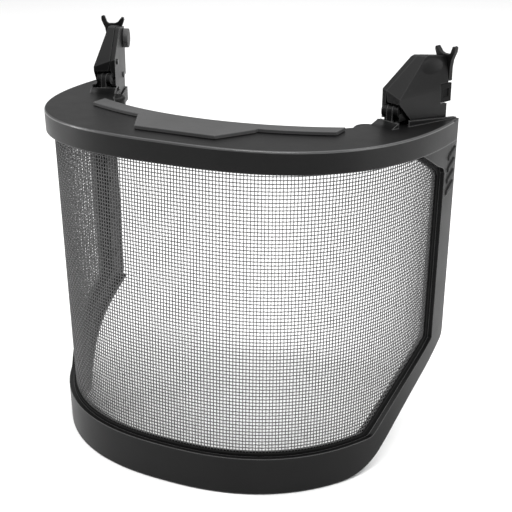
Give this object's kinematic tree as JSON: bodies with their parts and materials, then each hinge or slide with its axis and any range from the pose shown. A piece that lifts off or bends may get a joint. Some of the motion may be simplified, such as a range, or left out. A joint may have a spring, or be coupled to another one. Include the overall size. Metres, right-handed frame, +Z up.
{
  "type": "mesh face shield for a hard hat",
  "caption": "Flip-up face shield: curved woven mesh screen in a moulded frame under a solid brow guard, hung on two slotted helmet clips.",
  "frame": {"origin": "midway between the round bosses of the two helmet clips, where the shield is held by the helmet", "axes": "+X towards the wearer's left, across the width; -Y forwards to the front of the brow; +Z up"},
  "size_m": [0.261, 0.1562, 0.2544],
  "materials": {
    "shell_plastic": "fine grain moulded, satin black",
    "trim_plastic": "matt dark grey",
    "border_rubber": "dull black",
    "mesh_wire": "dark grey coated woven wire",
    "clip_plastic": "satin black",
    "steel": "black oxide"
  },
  "bodies": {
    "helmet_clips": {"left_arm_cover": "clip_plastic", "right_arm_cover": "clip_plastic", "left_clip_blade": "clip_plastic", "right_clip_blade": "clip_plastic", "left_boss": "trim_plastic", "right_boss": "trim_plastic", "left_latch_spring": "steel", "right_latch_spring": "steel", "left_arm_screws": "steel", "right_arm_screws": "steel"},
    "visor": {"brow_guard": "shell_plastic", "brow_trim": "trim_plastic", "outer_rim": "shell_plastic", "screen_border": "border_rubber", "mesh_screen": "mesh_wire", "upper_strip": "shell_plastic", "bottom_strip": "shell_plastic", "left_strip": "shell_plastic", "right_strip": "shell_plastic", "strip_rivets": "shell_plastic", "left_grip": "trim_plastic", "right_grip": "trim_plastic", "left_hinge_pin": "steel", "right_hinge_pin": "steel"},
    "left_latch": {"left_latch_tab": "clip_plastic"},
    "right_latch": {"right_latch_tab": "clip_plastic"}
  },
  "joints": [
    {"name": "visor_flip", "type": "hinge", "parent": "helmet_clips", "child": "visor", "pos_m": [0, -0.04043, -0.019], "axis": [-1, 0, 0], "range_deg": [0, 95]},
    {"name": "right_latch_slide", "type": "slide", "parent": "helmet_clips", "child": "right_latch", "axis": [0.3907, 0.9205, 0], "range_m": [0, 0.003], "stiffness_N_per_m": 250},
    {"name": "left_latch_slide", "type": "slide", "parent": "helmet_clips", "child": "left_latch", "axis": [-0.3907, 0.9205, 0], "range_m": [0, 0.003], "stiffness_N_per_m": 250}
  ]
}
